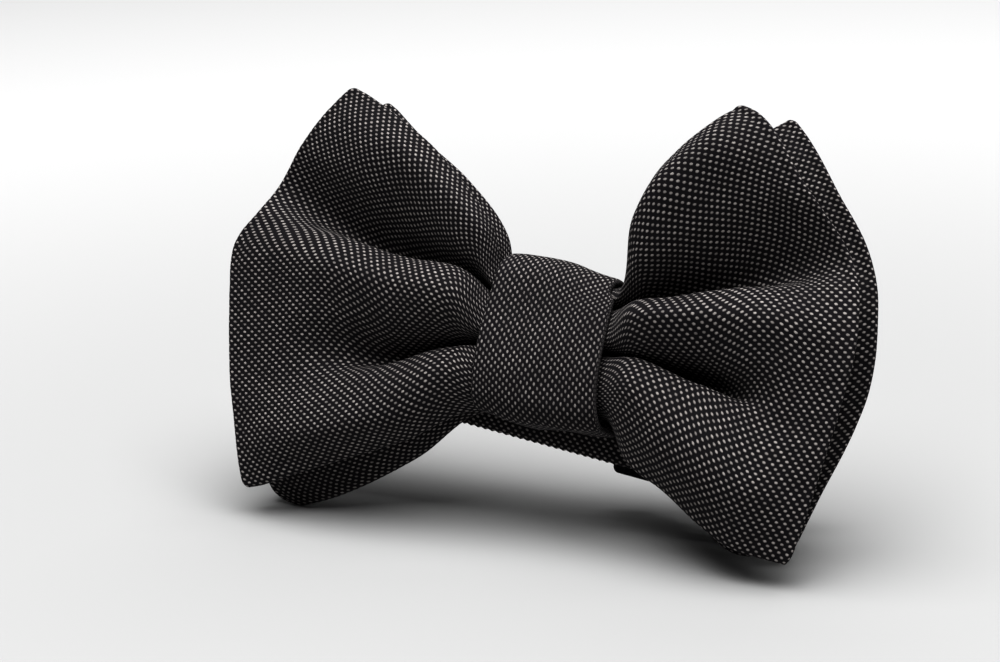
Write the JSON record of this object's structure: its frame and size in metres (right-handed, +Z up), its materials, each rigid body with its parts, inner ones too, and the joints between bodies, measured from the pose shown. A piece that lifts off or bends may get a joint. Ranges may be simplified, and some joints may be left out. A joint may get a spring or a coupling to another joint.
{
  "type": "pre-tied bow tie",
  "caption": "Pre-tied bow tie with two pleated cloth layers, a wrapped knot and an adjustable neckband folded up behind it, closed by a hook and eye.",
  "frame": {"origin": "centre of the knot's back face, where the tie seats against the collar", "axes": "+X to the wearer's left, which is right as seen from the front; -Y out of the front; +Z up from the table, with the tie leant back 20 degrees as it stands"},
  "size_m": [0.1168, 0.0371, 0.074],
  "materials": {
    "suiting": "woven birdseye",
    "interfacing": "stiff canvas",
    "thread": "sewing thread",
    "hardware": "black nickel"
  },
  "bodies": {
    "bow": {"front_bow_cloth": "suiting", "front_bow_interfacing": "interfacing", "back_bow_cloth": "suiting", "back_bow_interfacing": "interfacing", "back_bow_seam_stitches": "thread", "waist_thread": "thread", "knot_band": "suiting", "knot_interfacing": "interfacing", "knot_closing_stitches": "thread", "neckband_center_cloth": "suiting", "neckband_center_interlining": "interfacing", "tail_loop_cloth": "suiting", "tail_bar_tack": "thread"},
    "eye": {"eye": "hardware"},
    "band_inner": {"neckband_inner_cloth": "suiting", "neckband_inner_interlining": "interfacing"},
    "band_middle": {"neckband_middle_cloth": "suiting", "neckband_middle_interlining": "interfacing"},
    "band_outer": {"neckband_outer_cloth": "suiting", "neckband_outer_interlining": "interfacing"},
    "slider": {"slide_frame": "hardware", "slide_wrap_cloth": "suiting", "slide_bar_tack": "thread"},
    "hook_end": {"hook_loop_cloth": "suiting"},
    "hook": {"hook": "hardware"}
  },
  "joints": [
    {"name": "fold_1", "type": "hinge", "parent": "bow", "child": "band_inner", "pos_m": [-0.05775, -0.00047, 0.00017], "axis": [0.0698, 0.3412, 0.9374], "range_deg": [0, 179]},
    {"name": "fold_2", "type": "hinge", "parent": "band_inner", "child": "band_middle", "pos_m": [0.03236, -0.00185, -0.01284], "axis": [0.1392, 0.3387, 0.9305], "range_deg": [-179, 0]},
    {"name": "fold_3", "type": "hinge", "parent": "band_middle", "child": "band_outer", "pos_m": [-0.05775, 0.00445, -0.00166], "axis": [0.1392, 0.3387, 0.9305], "range_deg": [0, 179]},
    {"name": "slider_slide", "type": "slide", "parent": "band_outer", "child": "slider", "axis": [0.9903, -0.0476, -0.1308], "range_m": [-0.024, 0.006]},
    {"name": "hook_slide", "type": "slide", "parent": "band_outer", "child": "hook_end", "axis": [0.9903, -0.0476, -0.1308], "range_m": [-0.012, 0.003]},
    {"name": "hook_swing", "type": "hinge", "parent": "hook_end", "child": "hook", "pos_m": [0.02914, 0.00305, -0.01414], "axis": [0.1392, 0.3387, 0.9305], "range_deg": [-5, 110]},
    {"name": "eye_swing", "type": "hinge", "parent": "bow", "child": "eye", "pos_m": [0.039, -0.00066, 0.00024], "axis": [0, 0.342, 0.9397], "range_deg": [-6, 45]}
  ],
  "couplings": [
    {"joint": "fold_2", "follows": "fold_1", "ratio": -1},
    {"joint": "fold_3", "follows": "fold_1", "ratio": 1},
    {"joint": "hook_slide", "follows": "slider_slide", "ratio": 0.5}
  ]
}
